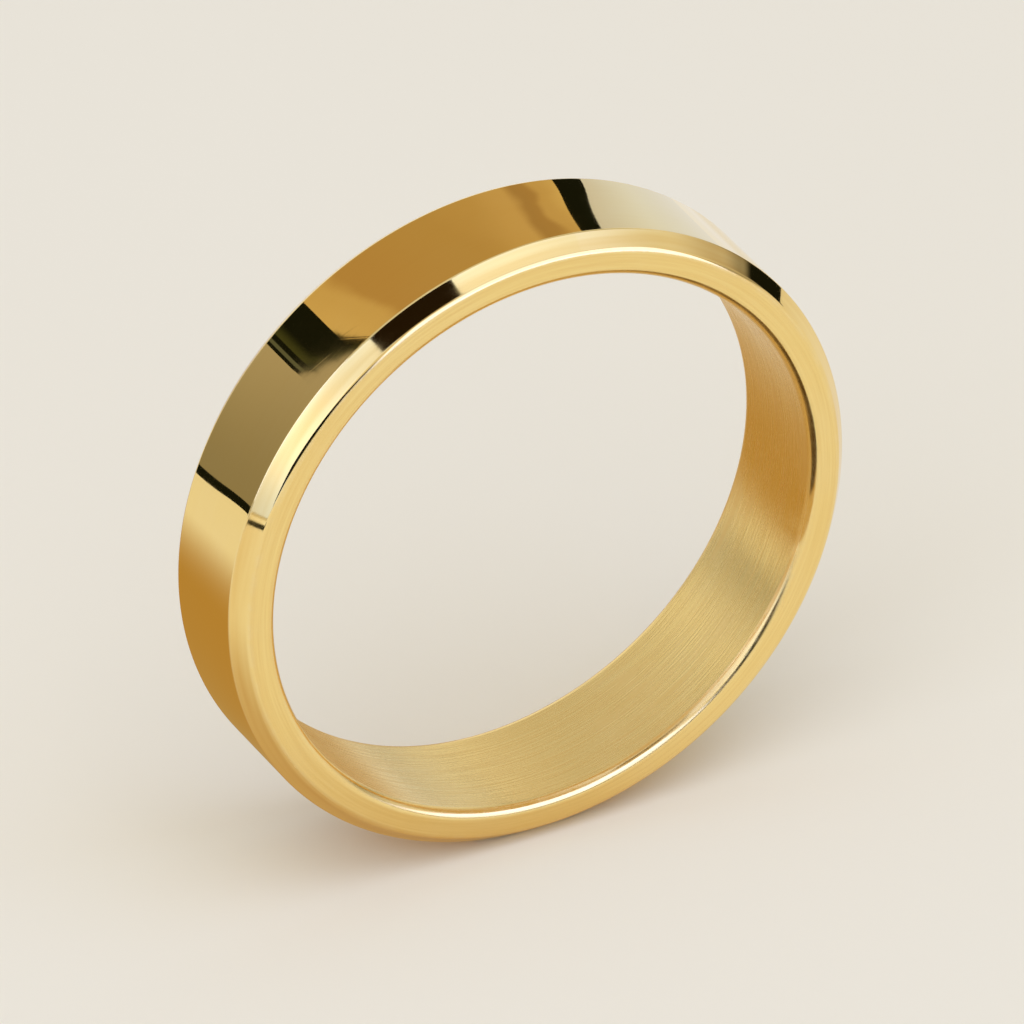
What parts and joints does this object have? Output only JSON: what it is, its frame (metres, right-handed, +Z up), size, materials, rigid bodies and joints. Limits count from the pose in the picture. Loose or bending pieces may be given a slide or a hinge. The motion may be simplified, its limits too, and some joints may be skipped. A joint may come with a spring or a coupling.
{
  "type": "wedding band",
  "caption": "Plain polished yellow gold wedding band with a flat outer face, bevelled edges and an eased straight bore.",
  "frame": {"origin": "centre of the bore, halfway between the two side faces", "axes": "+Y along the ring's axis from the front side face to the rear one, +Z up with the ring upright, +X to the right seen from the front"},
  "size_m": [0.0218, 0.0044, 0.0218],
  "materials": {
    "gold": "mirror polished 18 carat yellow gold, satin in the bore"
  },
  "bodies": {
    "root": {"band": "gold"}
  },
  "joints": []
}
